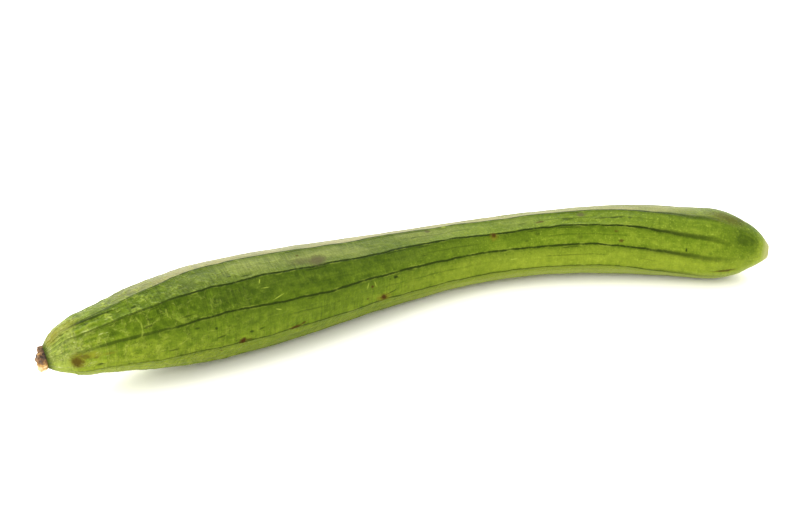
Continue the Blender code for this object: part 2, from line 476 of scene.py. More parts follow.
# Marks on the skin by kind: mm along, degrees round, half length and half width in mm, tilt in
# degrees from the fruit's length, strength
MARKS = {
    "stained": (
        (13.5, 91, 4, 4.6, 0, 0.55), (20, 81, 4.5, 2, 14, 0.4), (28, 86, 3, 0.8, 0, 0.35),
        (12, 2, 8, 4, 0, 0.35), (6.5, 0, 6, 5, 0, 0.6), (262.7, 38, 2.4, 2.4, 0, 0.5),
        (185.7, 101, 4.5, 2.2, 0, 0.5),
    ),
    "brown": (
        (13, 93, 2.9, 3.5, 0, 0.78), (16.8, 82, 3.2, 1.4, 24, 0.55), (22, 88, 1.6, 0.7, 0, 0.5),
        (100.7, 105, 2.2, 1.7, -10, 1), (103.7, 105, 2.2, 0.4, 0, 0.7),
        (130.7, 106, 3.6, 0.9, -4, 0.95), (135.7, 103.5, 1.6, 0.6, -18, 0.8),
        (88.7, 115, 1.2, 0.5, 0, 0.7), (185.7, 101, 2, 1.5, 0, 0.95),
        (177.7, 79, 0.9, 0.8, 0, 0.9), (174.7, 96, 0.6, 0.6, 0, 0.7),
        (262.7, 35.5, 1.5, 1.4, 0, 0.85), (292.7, 19, 2.8, 0.7, -6, 0.7),
        (338.7, 64, 1.4, 1, 0, 0.75), (335.7, 47, 1.2, 0.7, 0, 0.6), (399.7, 113, 6.5, 1, 0, 0.8),
        (399, 4, 11, 4.5, 0, 0.45), (406.7, -7, 4, 1.6, 0, 0.5), (140.7, 9, 0.8, 0.7, 0, 0.6),
    ),
    "grey": (
        (149.5, 23, 5.6, 3.5, -6, 0.9), (141, 20, 6, 2.6, 0, 0.5), (316.7, 10, 2.6, 1.5, 0, 0.75),
        (224.7, 2, 1.8, 1, 0, 0.8),
    ),
    "dark": (
        (26, 14, 14, 0.7, 0, 0.85), (99.7, 22, 1.4, 0.5, 0, 0.8), (108.7, 26, 2.6, 0.5, 0, 0.75),
        (84.7, 80, 0.9, 0.8, 0, 0.8), (105.7, 95, 1.2, 0.7, 0, 0.85),
        (111.7, 94, 1.5, 0.5, -12, 0.75), (87.7, 92, 2.4, 0.5, -8, 0.8),
        (73.4, 75, 1.8, 0.6, 0, 0.7), (213.7, 12, 1.8, 0.4, -6, 0.7), (193.7, 73, 1.5, 0.9, -6, 1),
        (189.7, 74, 0.8, 0.6, 0, 0.6), (190.7, 96, 4.6, 0.35, -14, 0.85),
        (194.7, 114, 0.8, 0.6, 0, 0.8), (203.7, 65, 2.8, 0.9, 0, 0.9),
        (215.7, 49, 2.8, 0.45, 0, 0.5), (281.7, 18, 3, 0.4, 0, 0.5), (308.7, 18, 3.6, 1, 0, 0.65),
        (327.7, 20, 5, 0.55, 0, 0.7), (335.7, 20, 4.6, 0.6, -3, 0.8),
        (343.7, 21, 1.2, 0.8, 0, 0.6), (289.7, 43, 1.4, 1, 0, 0.5), (282.7, 54, 1, 0.8, 0, 0.5),
        (314.7, 55, 2, 1.2, 0, 0.35), (376.7, 74, 0.6, 1.1, 0, 0.95), (21.5, 22, 1.5, 0.6, 0, 0.7),
        (45.2, 23, 1.6, 0.8, 0, 0.8), (60.5, 99, 3.2, 0.5, -6, 0.55),
        (69, 57.5, 3.6, 0.35, -3, 0.6), (48.5, 58, 2.4, 0.6, -10, 0.7), (50, 49, 2.2, 0.7, 8, 0.5),
        # On this line, the last two dark marks are painted shade in the folds of the stalk-end
        # dimple
        (24, 106, 1.8, 0.7, 0, 0.8), (408.6, 49, 3, 2, -20, 0.5), (411.5, 38, 4.2, 1.1, 16, 0.4),
    ),
    "pale": (
        (114.7, 37, 0.35, 1.3, 24, 0.6), (117, 46, 2, 0.28, 4, 0.55),
        (122.7, 60, 3.2, 0.26, -18, 0.65), (121.5, 75, 1.8, 0.3, 22, 0.6),
        (235.7, -3, 1.4, 0.7, 0, 0.5), (273.7, 85, 2.2, 0.35, -6, 0.6),
        (174.7, 76, 0.4, 1.8, 20, 0.5), (179.7, 76, 0.4, 1.8, -20, 0.5),
        (44.4, 44, 0.45, 2, -14, 0.3), (52, 94, 0.5, 2.4, 30, 0.4), (45.3, 55, 0.45, 2.4, 4, 0.4),
        (44.5, 65, 0.45, 2, 22, 0.35),
    ),
}
MARK_REACH = 1.6  # a mark's mask is worked out to this many times its size
MARK_THICKNESS = 10  # how far a mark reaches into the skin and out of it, in mm
MARK_EDGE = (1.45, 0.4)  # a mark comes in between these shares of its size
# The dished patch by the stalk end, given as a mark is; its darkening is painted shade
STALK_DISH = (409.5, 42, 7, 5, 0)

# Strength of each ridge's dark line, in order from the first
LINE_STRENGTH = (0.95, 1, 0.93, 0.7, 0.5, 0.4, 0.5, 0.8, 0.9, 0.7)
# Half width of each ridge's dark line, in mm
LINE_HALF_WIDTH = (0.3, 0.43, 0.42, 0.26, 0.16, 0.16, 0.2, 0.3, 0.36, 0.3)
SLOW_SWING = 1.2 * MM  # how far the lines wander from their ridges
QUICK_SWING = 0.5 * MM
STRAND_ASIDE = 1.3 * MM  # a broken second line runs this far beside the first
VEIN_PLACE = 0.47  # share of the way across a panel at which its vein runs
# How pale and yellow each panel is, from the first ridge on
PANEL_TONES = (0.3, 0.24, 0.35, 0.46, 0.4, 0.3, 0.2, 0.25, 0.35, 0.25)
# How much cream shows on each panel: partly pale skin and partly painted grazing sheen along the
# top
PANEL_CREAM = (0.06, 0, 0, 0.04, 0.1, 0, 0.1, 0.1, 0.3, 0.7)
# Whitish waxy coat on each panel, with painted sheen: strongest on the upper panels
PANEL_BLOOM_AND_SHEEN = (1, 0.1, 0.1, 0, 0, 0, 0.3, 0.5, 0.6, 0.7)
# Tone of the skin along the fruit: distance in mm from the blossom end, and how pale
TONE_ALONG = ((0, 0.92), (16, 0.7), (35, 0.44), (50, 0.33), (80, 0.17), (150, 0.1),
              (185, 0.1), (215, 0.24), (250, 0.4), (300, 0.44), (365, 0.47),
              (398, 0.42), (413, 0.36), (422, 0.85))

# Where each thing comes in, between two distances from the blossom end, in metres
LINES_START, LINES_FULL, LINES_END = (0.005, 0.021), (0.045, 0.08), (0.395, 0.35)
LINES_WIDER_BLOSSOM, LINES_WIDER_STALK = (0.065, 0.035), (0.338, 0.378)
BANDS_START, BANDS_END = (0.338, 0.375), (0.41, 0.385)
VEINS_START, VEINS_END = (0.07, 0.12), (0.385, 0.335)
WRINKLED_END = (0.17, 0.03)
FOLDED_TIP = (0.044, 0.01)
RUNGS_STRONG = (0.24, 0.14)
BLOOM_AND_SHEEN_START, BLOOM_AND_SHEEN_END = (0.05, 0.1), (0.31, 0.255)
PAINTED_SHEEN_TIP = (0.034, 0.01)
CREAM_START, CREAM_END = (0.01, 0.07), (0.418, 0.335)
PALE_BELOW_STALKWARD, PALE_BELOW_BLOSSOM = (0.19, 0.25), (0.1, 0.04)
FLECKED_END = (0.11, 0.05)
CREASED_END, CREASED_TIP = (0.13, 0.05), (0.07, 0.03)
DOTTED_END = (0.14, 0.34)
SHINING_TIP = (0.015, 0.007)
# Painted shade in the angle between the crust and the skin
PAINTED_SHADE_RING = (0.0035, 0)  # in the angle between the crust and the skin
CORK_STARTS, CORK_FACE = (0.4185, 0.4228), (0.4224, 0.4228)
CORK_RADIUS = (0.0037, 0.0031)


def distance_from_mark(unbent, at, angle, half_length, half_width, tilt):
    """How far from the middle of a mark, where 1 is its edge and MARK_REACH is the farthest"""
    turned = math.radians(angle)
    radius = float(full_radius(np.array((at,)))[0])
    outward = Vector((0, math.sin(turned), math.cos(turned)))
    round_it = Vector((0, math.cos(turned), -math.sin(turned)))
    lengthwise = Vector((1, 0, 0))
    lean = Matrix.Rotation(math.radians(tilt), 3, outward)
    axes = Matrix((lean @ lengthwise, lean @ round_it, outward)).transposed()
    sizes = half_length * MARK_REACH, half_width * MARK_REACH, MARK_THICKNESS
    place = unbent.node("ShaderNodeMapping", {"vector_type": "TEXTURE"}, {
        "Vector": unbent,
        "Location": Vector((at, 0, 0)) * MM + outward * radius * MM,
        "Rotation": axes.to_euler(),
        "Scale": [size * MM for size in sizes],
    })
    near = place.node("ShaderNodeTexGradient", {"gradient_type": "SPHERICAL"}, {"Vector": place},
                      output="Fac")
    return MARK_REACH - near * MARK_REACH


def marks_of(kind, unbent, ragged):
    """All the marks of one kind as one mask with ragged edges"""
    total = 0
    for *place, strength in MARKS[kind]:
        away = distance_from_mark(unbent, *place) + ragged
        total = unbent.math("MAXIMUM", total, away.smooth(*MARK_EDGE) * strength)
    return total


def steps_round(around, values, shift=0):
    """Read one value for each panel, or for each ridge with a shift of half a panel"""
    turn = ((around + shift) / RIDGE_COUNT).fraction()
    stops = [(k / RIDGE_COUNT, (1, 1, 1, value)) for k, value in enumerate(values)]
    return turn.ramp(stops, "CONSTANT", "Alpha")


def curve_along(along, table):
    """Read a table of distances in mm and values"""
    reach = table[-1][0]
    stops = [(at / reach, (1, 1, 1, value)) for at, value in table]
    return (along * (1 / (reach * MM))).ramp(stops, "EASE", "Alpha")


def crease_net(unbent):
    """A net of thin crooked lines with meshes about 8 mm wide"""
    stir = unbent.node("ShaderNodeTexNoise", {}, {"Vector": unbent, "Scale": 110}, output="Color")
    stirred = unbent.node("ShaderNodeVectorMath", {"operation": "MULTIPLY_ADD"},
                          {0: stir, 1: (0.01, 0.01, 0.01), 2: unbent})
    net = unbent.node("ShaderNodeTexVoronoi", {"feature": "DISTANCE_TO_EDGE"},
                      {"Vector": stirred, "Scale": 125})
    return net.smooth(0.13, 0.02)


class SkinPatterns:
    """Places on the fruit as its material reads them, and patterns over them from 0 to 1"""

    def __init__(self, start):
        self.unbent = unbent = start.attribute("unbent", "Vector")
        self.along, self.girth, self.around, self.crumple = (
            start.attribute(name) for name in ("along", "girth", "around", "crumple"))
        self.blossomward = self.along.smooth(*WRINKLED_END)
        # Clouds, small patches, fine grain, rings round the fruit and threads along it
        self.mottle = unbent.scaled(0.6, 1, 1).noise(75, 3, 0.55, 0.4)
        self.patch = unbent.noise(260, 3, 0.65)
        self.grain = unbent.noise(900, 2, 0.6)
        self.rungs = unbent.scaled(1, 0.07, 0.07).noise(1150, 2, 0.6)
        self.fibres = unbent.scaled(0.035, 1, 1).noise(900, 2, 0.6)
        self.crease = crease_net(unbent) * self.patch.smooth(0.44, 0.62)
        wave = self.around * 15 + self.mottle * 14
        self.folds = wave.math("SINE", wave).smooth(-1, 1)
        self.tipward = self.along.smooth(*FOLDED_TIP)
        rung_area = unbent.noise(36, 1).smooth(0.42, 0.62) * self.along.smooth(*RUNGS_STRONG)
        self.rung_area = rung_area * 0.8 + 0.2


def ridge_lines(skin):
    """Masks of the ridges' dark lines, their pale edges painted as highlights, bands and halos, and
    of the veins
    """
    along, around = skin.along, skin.around
    pitch = skin.girth * (2 * math.pi / RIDGE_COUNT)
    rough = skin.unbent.scaled(1, 0.4, 0.4)
    slow = (rough.noise(130, 2, 0.6) - 0.5) * SLOW_SWING
    quick = (rough.noise(700, 2, 0.6) - 0.5) * QUICK_SWING
    beside = ((around + 0.5).fraction() - 0.5) * pitch + slow + quick
    from_ridge = beside.absolute()
    strength = steps_round(around, LINE_STRENGTH, 0.5)
    half_width = steps_round(around, LINE_HALF_WIDTH, 0.5) * MM
    patchy = rough.noise(210, 3, 0.65)
    stalkward = along.smooth(*LINES_WIDER_STALK)
    width = half_width * (0.15 + patchy * 1.3) + stalkward * (0.3 * MM)
    width = width + along.smooth(*LINES_WIDER_BLOSSOM) * (0.2 * MM)
    core = (from_ridge - width).smooth(0.4 * MM, -0.1 * MM)
    fading = along.smooth(*LINES_FULL) * 0.4 + 0.6
    fading = fading * (along.smooth(*LINES_START) * 0.8 + 0.2)
    fading = fading * along.smooth(*LINES_END)
    broken = patchy.smooth(0.3, 0.48) * 0.4 + 0.6
    line = core * fading * broken * strength
    # Pale edges beside each line: painted highlights on the ridges' crests
    edge = (from_ridge - width).smooth(1.1 * MM, 0.4 * MM)
    edge = edge * rough.noise(150, 3).smooth(0.48, 0.66) * fading
    strand = (beside - STRAND_ASIDE).absolute().smooth(0.5 * MM, 0.1 * MM)
    strand = strand * rough.noise(60, 1).smooth(0.56, 0.64) * fading * strength
    band = from_ridge.smooth(2.4 * MM, 0.6 * MM) * along.smooth(*BANDS_START)
    band = band * along.smooth(*BANDS_END) * strength
    below = beside.smooth(-0.4 * MM, 0.6 * MM) * beside.smooth(5.5 * MM, 0)
    halo = (below * 0.7 + from_ridge.smooth(2 * MM, 0.4 * MM) * 0.5) * fading * strength
    off_vein = (around.fraction() - VEIN_PLACE) * pitch + slow * 0.8
    vein_shown = rough.noise(38, 2).smooth(0.42, 0.6) * along.smooth(*VEINS_START)
    vein_shown = vein_shown * along.smooth(*VEINS_END)
    vein = off_vein.absolute().smooth(0.55 * MM, 0.1 * MM) * vein_shown
    line = line.math("MAXIMUM", line, strand * 0.6)
    return line, edge, band, halo, vein


def ground_colour(skin, look):
    """The skin's greens, its whitish coat and cream with their painted sheen, before its speckles,
    lines and marks; and the mask of the coat and its sheen
    """
    along, around = skin.along, skin.around
    mottle, patch, fibres = skin.mottle, skin.patch, skin.fibres
    height = skin.unbent.node("ShaderNodeSeparateXYZ", {}, {"Vector": skin.unbent}, output=2)
    height = height / skin.girth
    tone = curve_along(along, TONE_ALONG) + steps_round(around, PANEL_TONES) - height * 0.3
    tone = tone + (mottle - 0.5) * 0.45 + (patch - 0.5) * 0.65 + (fibres - 0.5) * 0.3
    # Paler on the wrinkles' crests and darker in their hollows: painted light and shade of the
    # wrinkles
    tone = tone + skin.crumple * (0.06 + skin.blossomward * 0.24)
    # Lighter and darker stripes across the folds at the tip: painted light and shade of the folds
    tone = tone + (skin.folds - 0.5) * skin.tipward * 0.4
    paint = tone.ramp([(0, look.deep_green), (0.45, look.fresh_green), (1, look.yellow_green)])

    # Whitish waxy coat, partly painted sheen: strongest on the upper panels and on the upper half
    # of each panel
    clouds = skin.unbent.scaled(0.5, 1, 1).noise(60, 4, 0.6)
    clouds = clouds.smooth(0.34, 0.72) * 0.7 + 0.16
    across = around.fraction()
    bloom_and_sheen = steps_round(around, PANEL_BLOOM_AND_SHEEN) * clouds * (across.smooth(1, 0.45) * 0.65 + 0.32)
    bloom_and_sheen = bloom_and_sheen * along.smooth(*BLOOM_AND_SHEEN_START) * along.smooth(*BLOOM_AND_SHEEN_END)
    bloom_and_sheen = bloom_and_sheen * (fibres * 0.8 + patch * 0.7)
    # Painted sheen on the upper side of the blossom tip
    painted_sheen = height.smooth(-0.1, 0.5) * along.smooth(*PAINTED_SHEEN_TIP) * patch.smooth(0.38, 0.62)
    paint = paint.mixed(look.bloom_and_sheen, bloom_and_sheen + painted_sheen * 0.7)
    # Cream along the top panels: partly pale skin and partly painted grazing sheen
    cream = steps_round(around, PANEL_CREAM) * (fibres + mottle * 2.2 + patch - 1.05)
    cream = cream * along.smooth(*CREAM_START)
    paint = paint.mixed(look.cream, cream * along.smooth(*CREAM_END))
    # Paler underside: partly the skin's own paler colour and partly painted light bounced up from
    # the floor
    below = height.smooth(-0.4, -0.85)
    below = below * (along.smooth(*PALE_BELOW_STALKWARD) + along.smooth(*PALE_BELOW_BLOSSOM) * 0.6)
    paint = paint.mixed(look.glint, below * (patch * 0.3 + fibres * 0.2))
    light = 0.7 + skin.grain * 0.6 + (skin.rungs - 0.5) * skin.rung_area * 1.3
    paint = paint.node("ShaderNodeHueSaturation", {}, {"Color": paint, "Value": light})
    return paint, bloom_and_sheen


def speckled(paint, skin, look):
    """The colour with its dots, painted glints, painted highlights on its creases and painted shade
    beside them
    """
    along, patch = skin.along, skin.patch
    flecks = skin.unbent.scaled(1, 0.7, 0.7).noise(290, 2.5, 0.55, 1.2)
    fleck_area = skin.mottle.smooth(0.36, 0.6) * (along.smooth(*FLECKED_END) * 0.9 + 0.05)
    # Painted highlights: glints on the folds by the blossom
    painted_glints = skin.fibres.smooth(0.52, 0.62) * skin.folds * patch.smooth(0.48, 0.62) * skin.tipward
    # Painted highlights on the raised edges of the creases
    painted_crease_highlights = skin.crease * (along.smooth(*CREASED_END) * 0.8 + 0.06)
    # Thin crooked dark lines: painted shade on the shaded sides of small creases
    painted_crease_shade = flecks.smooth(0.41, 0.45) * flecks.smooth(0.49, 0.46) * fleck_area
    dots = skin.grain.smooth(0.6, 0.74) * (along.smooth(*DOTTED_END) * 0.75 + 0.25)
    paint = paint.mixed(look.pale_green, dots * 0.4)
    # Painted glints, and a painted shine over the very tip
    paint = paint.mixed(look.glint, painted_glints * 0.8 + along.smooth(*SHINING_TIP) * 0.13)
    painted_crease_highlights = painted_crease_highlights * (along.smooth(*CREASED_TIP) * 0.22 + 0.34)
    paint = paint.mixed(look.pale_green, painted_crease_highlights)
    return paint.mixed(look.deep_green, painted_crease_shade * 0.5)


def lined_and_marked(paint, skin, look):
    """The colour with its lines, veins, marks, and the ripples and painted shade of the dished
    patch; and the masks of dull places
    """
    unbent = skin.unbent
    line, edge, band, halo, vein = ridge_lines(skin)
    ragged = (unbent.noise(650, 3, 0.65) - 0.5) * 1.3
    stained, brown, rubbed, dark = (marks_of(kind, unbent, ragged)
                                    for kind in ("stained", "brown", "grey", "dark"))
    pale = marks_of("pale", unbent, ragged * 0.5)
    paint = paint.mixed(look.deep_green, halo * 0.5)
    # Painted highlights beside the ridge lines
    paint = paint.mixed(look.pale_green, edge * 0.25)
    paint = paint.mixed(look.line_green, vein * 0.4)
    paint = paint.mixed(look.line_green, band * 0.62)
    paint = paint.mixed(look.line_green, line)
    paint = paint.mixed(look.grey_scar, rubbed)
    paint = paint.mixed(look.line_green, dark)
    paint = paint.mixed(look.olive_brown, stained)
    paint = paint.mixed(look.brown_scar, brown)
    paint = paint.mixed(look.pale_green, pale)

    dish = distance_from_mark(unbent, *STALK_DISH) + ragged * 0.6
    ripple = dish * 12 + skin.mottle * 24
    ripple = ripple.math("SINE", ripple).smooth(0, 1)
    ripple = ripple * dish.smooth(MARK_REACH, 0.9) * dish.smooth(0.1, 0.4)
    # Painted shade in the dished patch
    painted_dish_shade = dish.smooth(MARK_REACH, 0.3)
    paint = paint.mixed(look.deep_green, ripple * 0.3 + painted_dish_shade * 0.55)
    return paint, line, brown, rubbed


def skin_material(look):
    """Fresh green skin with dark ridge lines, veins, scars and a soft gloss"""
    material, shader, start = new_material("luffa_skin")
    skin = SkinPatterns(start)
    along = skin.along
    paint, bloom_and_sheen = ground_colour(skin, look)
    paint = speckled(paint, skin, look)
    paint, line, brown, rubbed = lined_and_marked(paint, skin, look)
    # Painted shade round the crust, in the angle where it meets the skin
    paint = paint.mixed(look.line_green, along.smooth(*PAINTED_SHADE_RING) * 0.8)

    colours = {0: skin.grain, 6: (*look.cork_dark, 1), 7: (*look.cork_light, 1)}
    cork = start.node("ShaderNodeMix", {"data_type": "RGBA"}, colours, output=2)
    end_face = along.smooth(*CORK_FACE) * skin.girth.smooth(*CORK_RADIUS)
    paint = paint.mixed(look.cork_light, along.smooth(*CORK_STARTS) * 0.7)
    paint = paint.mixed(cork, end_face * 0.85)

    dull = 0.33 + skin.patch * 0.1 + bloom_and_sheen * 0.12 + line * 0.12
    dull = dull + brown * 0.3 + rubbed * 0.3 + end_face * 0.3
    relief = skin.rungs * 0.25 + skin.fibres * 0.2 + skin.patch * 0.9 + skin.grain * 0.4
    relief = relief + skin.crease * skin.blossomward * 0.9 + skin.folds * skin.tipward * 0.8
    relief = relief - line * 0.5
    bump = start.node("ShaderNodeBump", {}, {"Height": relief, "Distance": 0.6 * MM})
    connect(shader, Base_Color=paint, Roughness=dull, Normal=bump)
    shader.inputs["Specular IOR Level"].default_value = 0.04
    return material


# ============ the dried blossom

BLOSSOM_RINGS = 90
BLOSSOM_COLUMNS = 150
BLOSSOM_FOOT = 1.3  # how far inside the fruit's end plane the crust starts, in mm
# Distance from the foot in mm, radius in mm and how far the crust is shrivelled there
BLOSSOM_OUTLINE = np.array((
    (0, 0, 0), (0, 2.4, 0), (0.2, 4.4, 0.1), (0.8, 5.4, 0.4), (1.5, 6, 0.8),
    (2.4, 6.3, 1), (3.4, 6.2, 1), (4.3, 5.8, 1), (4.9, 5.1, 1), (5, 4.2, 1),
    (4.6, 3.3, 1), (4.1, 2.2, 0.9), (3.8, 1.1, 0.9), (3.8, 0, 0.8),
))
BLOSSOM_LOBES = ((5, 0.1, 0.4), (8, 0.05, 2.1), (3, 0.05, 1.2))  # count, depth, phase
BULGE_SIZE = 3.4  # in mm
BULGE_SHIFT = Vector((5, 0, 0))
FOLD_SIZE = 2.2  # in mm
FOLD_KIND = (0.9, 2.2, 4, 0.8, 2)  # dimension, lacunarity, octaves, offset, gain
CRUST_RADIUS = 6.5  # in mm
CRUST_MIDDLE = 3  # inside this radius in mm the forms die away
CRUST_ROUNDING = 1.4  # how far the crust stands out between its top and bottom, in mm
LOWEST_TURN = 0.5  # how far round from straight down the crust is palest, in radians


def blossom_points(look):
    """Points of the crust in mm, and at each the height of its folds and how low it lies"""
    at = np.linspace(0, len(BLOSSOM_OUTLINE) - 1, BLOSSOM_RINGS + 1)
    knots = np.arange(len(BLOSSOM_OUTLINE), dtype=float)
    beyond, radius, show = natural_spline(knots, BLOSSOM_OUTLINE, at).T
    radius[0] = radius[-1] = 0
    centre, forward, side, up, _ = axis_frames(np.array((0, 0.5)))
    points = np.empty((BLOSSOM_RINGS + 1, BLOSSOM_COLUMNS + 1, 3))
    folds = np.empty((BLOSSOM_RINGS + 1, BLOSSOM_COLUMNS + 1, 2))
    for j in range(BLOSSOM_COLUMNS):
        turned = j / BLOSSOM_COLUMNS * 2 * math.pi
        radial = up[0] * math.cos(turned) + side[0] * math.sin(turned)
        lobe = sum(depth * math.cos(count * turned + phase)
                   for count, depth, phase in BLOSSOM_LOBES)
        low = -math.cos(turned + LOWEST_TURN)
        for i in range(BLOSSOM_RINGS + 1):
            spot = Vector((radius[i] * math.cos(turned), radius[i] * math.sin(turned), beyond[i]))
            bulge = noise.noise(spot / BULGE_SIZE + BULGE_SHIFT)
            crumple = noise.ridged_multi_fractal(spot / FOLD_SIZE, *FOLD_KIND,
                                                 noise_basis="PERLIN_ORIGINAL") - 1
            rise = show[i] * (look.bulge / MM * bulge + look.crumple / MM * crumple)
            outer = min(1, radius[i] / CRUST_MIDDLE)
            swollen = radius[i] * (1 + show[i] * lobe) + rise * outer
            curl = show[i] * (1.2 * bulge + 5 * lobe) * radius[i] / CRUST_RADIUS + 0.6 * rise
            dome = CRUST_ROUNDING * show[i] * (1 - 1.3 * abs(low) * outer)
            reach = beyond[i] * (1 + 0.2 * low * outer) - BLOSSOM_FOOT + curl + dome
            points[i, j] = centre[0] + swollen * radial - reach * forward[0]
            # The fold value sinks where the crust is not shrivelled, at its foot and its centre,
            # which the material darkens as painted shade
            folds[i, j] = crumple + bulge - 1.5 * (1 - show[i]), low
    points[:, BLOSSOM_COLUMNS] = points[:, 0]
    folds[:, BLOSSOM_COLUMNS] = folds[:, 0]
    return points, folds


def crust_material(look):
    """Dry brown crust with painted shade in its folds and in a band along one side, palest on its
    lowest side
    """
    material, shader, start = new_material("dried_blossom_crust")
    place = start.node("ShaderNodeTexCoord", {}, output="Object")
    fold, low = (start.attribute(name) for name in ("fold", "low"))
    blotch = place.noise(260, 4, 0.6)
    grain = place.noise(1500, 3, 0.6)
    # Darker in the folds, at the foot and in the middle band along one side: painted shade; palest
    # on the lowest side
    middle = (low + 0.3).absolute().smooth(0.4, 0)
    level = 0.42 + (blotch - 0.5) * 1.5 + fold * 0.3 + (grain - 0.5) * 0.4 - middle * 0.24
    level = level + low.smooth(0.3, 1) * 0.4
    shade = level.ramp([(0, look.pit_brown), (0.34, look.dark_brown), (0.58, look.tan),
                        (0.78, look.cream)])
    bump = start.node("ShaderNodeBump", {}, {"Height": grain + blotch, "Distance": 0.5 * MM})
    connect(shader, Base_Color=shade, Normal=bump)
    shader.inputs["Roughness"].default_value = 0.7
    return material


# ============ settings

def length_property(name, description, default):
    """A length in metres, shown with its unit"""
    return FloatProperty(name=name, description=description, default=default, precision=5,
                         unit="LENGTH", subtype="DISTANCE")


def angle_property(name, description, degrees):
    """An angle, given in degrees"""
    return FloatProperty(name=name, description=description, default=math.radians(degrees),
                         subtype="ANGLE", unit="ROTATION")


def power_property(name, description, default):
    """The power of a light"""
    return FloatProperty(name=name, description=description, default=default, min=0, unit="POWER")


def colour_property(name, description, default):
    """A linear colour"""
    return FloatVectorProperty(name=name, description=description, default=default, size=3,
                               min=0, max=1, subtype="COLOR")


class GourdShape(bpy.types.PropertyGroup):
    """Sizes of the fruit's skin"""
    ridge_height: length_property("Ridge height", "How far the ridges stand up", 0.5 * MM)
    ridge_half_width: length_property("Ridge half width", "From crest to foot", 1.2 * MM)
    panel_flatness: length_property("Panel flatness", "Flattening between ridges", 0.4 * MM)
    pleat_depth: length_property("Pleat depth", "Folds at the blossom end", 0.2 * MM)
    swell_height: length_property("Swell height", "Slow rises of the skin", 0.45 * MM)
    dimple_depth: length_property("Dimple depth", "Small hollows of the skin", 0.2 * MM)
    wrinkle_height: length_property("Wrinkle height", "Wrinkles by the blossom", 0.36 * MM)
    rings: IntProperty(name="Rings", description="Faces along the fruit", default=430, min=60)
    columns: IntProperty(name="Columns", description="Faces round the fruit", default=220, min=60)


class GourdSkin(bpy.types.PropertyGroup):
    """Colours of the fruit's skin"""
    # Deep green also paints the shade beside small creases and in the dished patch by the stalk
    deep_green: colour_property("Deep green", "Darkest skin", (0.031, 0.057, 0.0013))
    fresh_green: colour_property("Fresh green", "Middle tone of the skin", (0.082, 0.127, 0.005))
    yellow_green: colour_property("Yellow green", "Palest skin", (0.187, 0.24, 0.017))
    # Colour of the whitish coat and of the painted sheen on the upper panels
    bloom_and_sheen: colour_property("Bloom", "Whitish bloom on the upper panels", (0.176, 0.199, 0.051))
    # Cream stands partly for pale skin and partly for painted grazing sheen along the top
    cream: colour_property("Cream", "Sun-bleached panel along the top", (0.178, 0.165, 0.059))
    # Painted highlight colour of the glints and the tip's shine; also mixed thinly into the
    # underside as painted floor-bounce light
    glint: colour_property("Glint", "Shine on the folds by the blossom", (0.445, 0.481, 0.194))
    # Line green also paints the shade ring round the crust and the shade in the stalk-end dimple's
    # folds
    line_green: colour_property("Line green", "Ridge lines and dark marks", (0.013, 0.024, 0.0007))
    # Pale green also paints the highlights on the creases and beside the ridge lines
    pale_green: colour_property("Pale green", "Speckles and scratches", (0.278, 0.342, 0.043))
    olive_brown: colour_property("Olive brown", "Stains round the scars", (0.139, 0.111, 0.0058))
    brown_scar: colour_property("Brown scar", "Healed brown scars", (0.042, 0.018, 0.0022))
    grey_scar: colour_property("Grey scar", "Rubbed grey patches", (0.065, 0.059, 0.024))
    cork_dark: colour_property("Dark cork", "Low parts of the stalk scar", (0.13, 0.101, 0.027))
    cork_light: colour_property("Light cork", "High parts of the stalk scar", (0.315, 0.306, 0.133))


class GourdBlossom(bpy.types.PropertyGroup):
    """Form and colours of the dried blossom"""
    bulge: length_property("Bulge", "Slow rises of the crust", 1.6 * MM)
    crumple: length_property("Crumple", "Height of the crust's folds", 0.7 * MM)
    # Pit brown is the painted shade at the bottom of the folds, and the darkest blotches
    pit_brown: colour_property("Pit brown", "Bottom of the folds", (0.028, 0.013, 0.0044))
    dark_brown: colour_property("Dark brown", "Low parts of the crust", (0.182, 0.088, 0.026))
    tan: colour_property("Tan", "High parts of the crust", (0.43, 0.245, 0.062))
    # The crust's cream shows on its lowest side and on its palest blotches
    cream: colour_property("Cream", "Frayed edges", (0.648, 0.481, 0.248))


class GourdStudio(bpy.types.PropertyGroup):
    """Camera and light of the studio"""
    camera_turn: angle_property("Camera turn", "Round the fruit from its front", -15.81)
    camera_rise: angle_property("Camera rise", "Above the table", 30)
    camera_distance: length_property("Camera distance", "From the point aimed at", 1.086)
    lens: FloatProperty(name="Lens", description="Focal length in mm", default=85, min=20)
    sky: FloatProperty(name="Sky", description="Strength of the white surroundings", default=1.72,
                       min=0)
    back_power: power_property("Back light", "Power of the soft light behind", 45)
    left_power: power_property("Left light", "Power of the soft light at the left", 28)
    right_power: power_property("Right light", "Power of the soft light at the right", 4)


# ============ operators

def store_places(mesh, unbent):
    """Keep what the skin's pattern follows: places on the unbent fruit, and panels round it"""
    store(mesh, "unbent", unbent, "FLOAT_VECTOR")
    store(mesh, "along", unbent[:, 0])
    store(mesh, "girth", np.hypot(unbent[:, 1], unbent[:, 2]))
    sheet = np.empty(len(mesh.loops) * 2, dtype=np.float32)
    mesh.uv_layers[0].data.foreach_get("uv", sheet)
    store(mesh, "around", sheet[1::2] * RIDGE_COUNT, domain="CORNER")


class GOURD_OT_fruit(bpy.types.Operator):
    """Make the green fruit"""
    bl_idname = "gourd.fruit"
    bl_label = "Fruit"

    def execute(self, context):
        shape = context.scene.gourd_shape
        points, unbent, crumple = fruit_points(shape.rings + 1, shape.columns, shape)
        piece, i, j = wrapped_sheet("gourd_fruit", shape.rings, shape.columns,
                                    lambda i, j: points[i, j] * MM)
        store_places(piece.data, unbent[i, j] * MM)
        store(piece.data, "crumple", crumple[i, j])
        close_and_smooth(piece)
        piece.data.materials.append(skin_material(context.scene.gourd_skin))
        check_against(piece, "fruit")
        stand_for(piece, "fruit")
        return {"FINISHED"}


